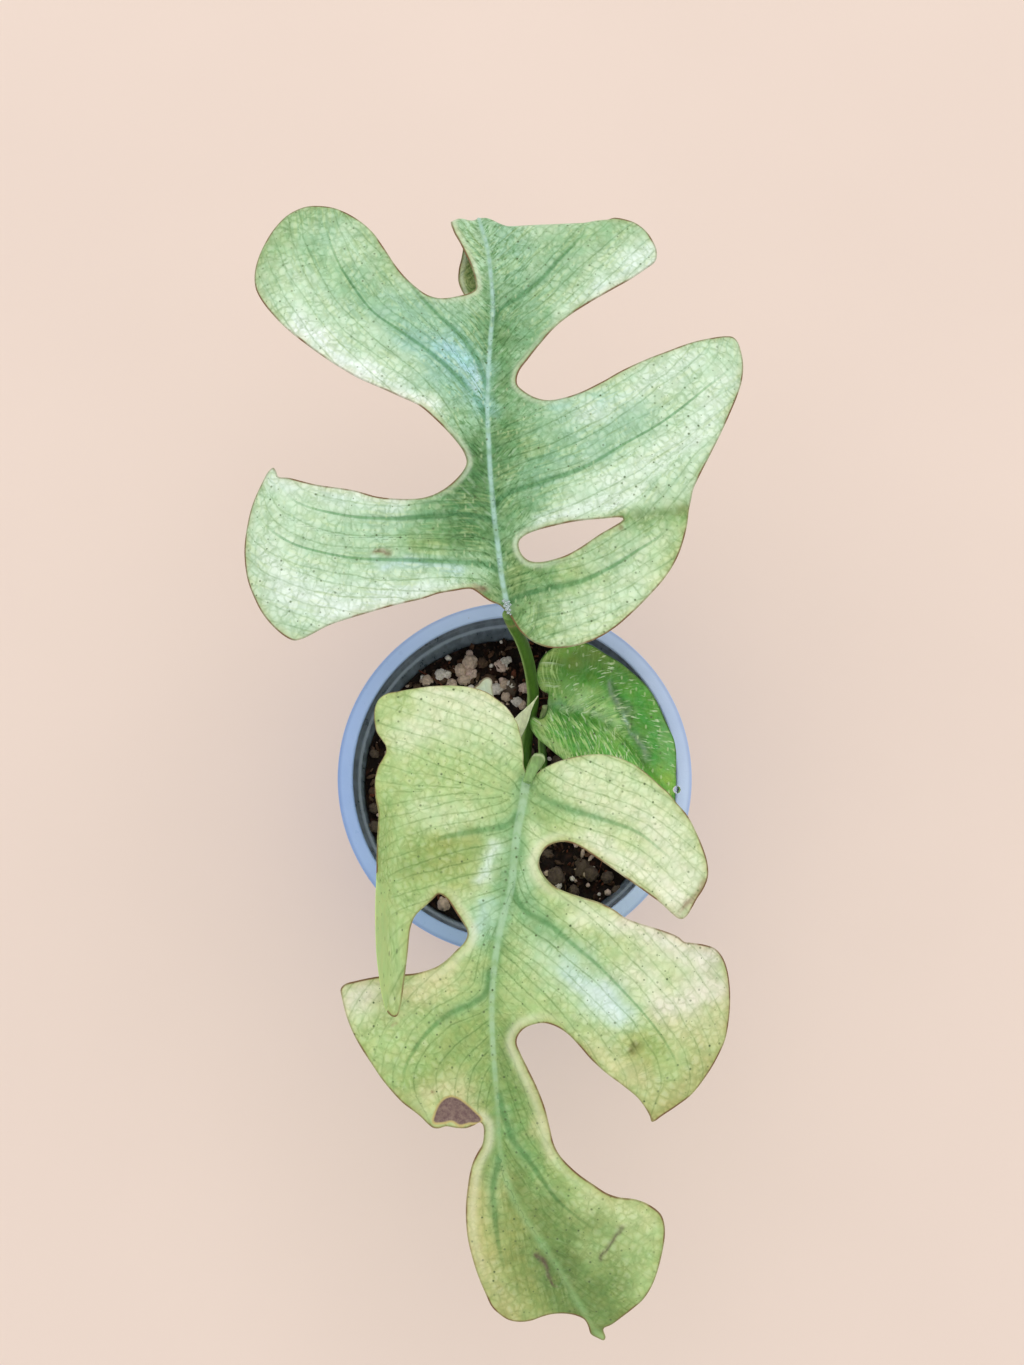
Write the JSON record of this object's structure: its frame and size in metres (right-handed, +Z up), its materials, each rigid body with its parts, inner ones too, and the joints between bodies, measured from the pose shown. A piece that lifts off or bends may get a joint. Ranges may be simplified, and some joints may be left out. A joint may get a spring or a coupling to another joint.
{
  "type": "potted mini monstera",
  "caption": "Young climbing aroid with deeply lobed, pale variegated leaves, growing in a round plastic nursery pot filled with potting mix.",
  "frame": {"origin": "middle of the pot's flat underside", "axes": "+Z up through the pot, -Y towards the tip of the long lower leaf, +X to the right when seen from above with the upper leaf away from the viewer"},
  "size_m": [0.1326, 0.3036, 0.1546],
  "materials": {
    "pot_plastic": "satin moulded polypropylene",
    "potting_mix": "moist coir and bark with perlite grains",
    "stem": "smooth living stem",
    "petiole": "smooth leaf stalk",
    "pale_blade": "waxy living leaf, satin",
    "green_blade": "waxy living leaf, glossy",
    "sheath": "thin leaf sheath, matt",
    "mint_blade": "young leaf, satin"
  },
  "bodies": {
    "root": {"pot": "pot_plastic", "soil": "potting_mix", "vine_stem": "stem", "petiole_upper": "petiole", "petiole_lower": "petiole", "petiole_small": "petiole", "leaf_upper": "pale_blade", "leaf_lower": "pale_blade", "leaf_small": "green_blade", "spear": "sheath", "young_leaf": "mint_blade"}
  },
  "joints": []
}
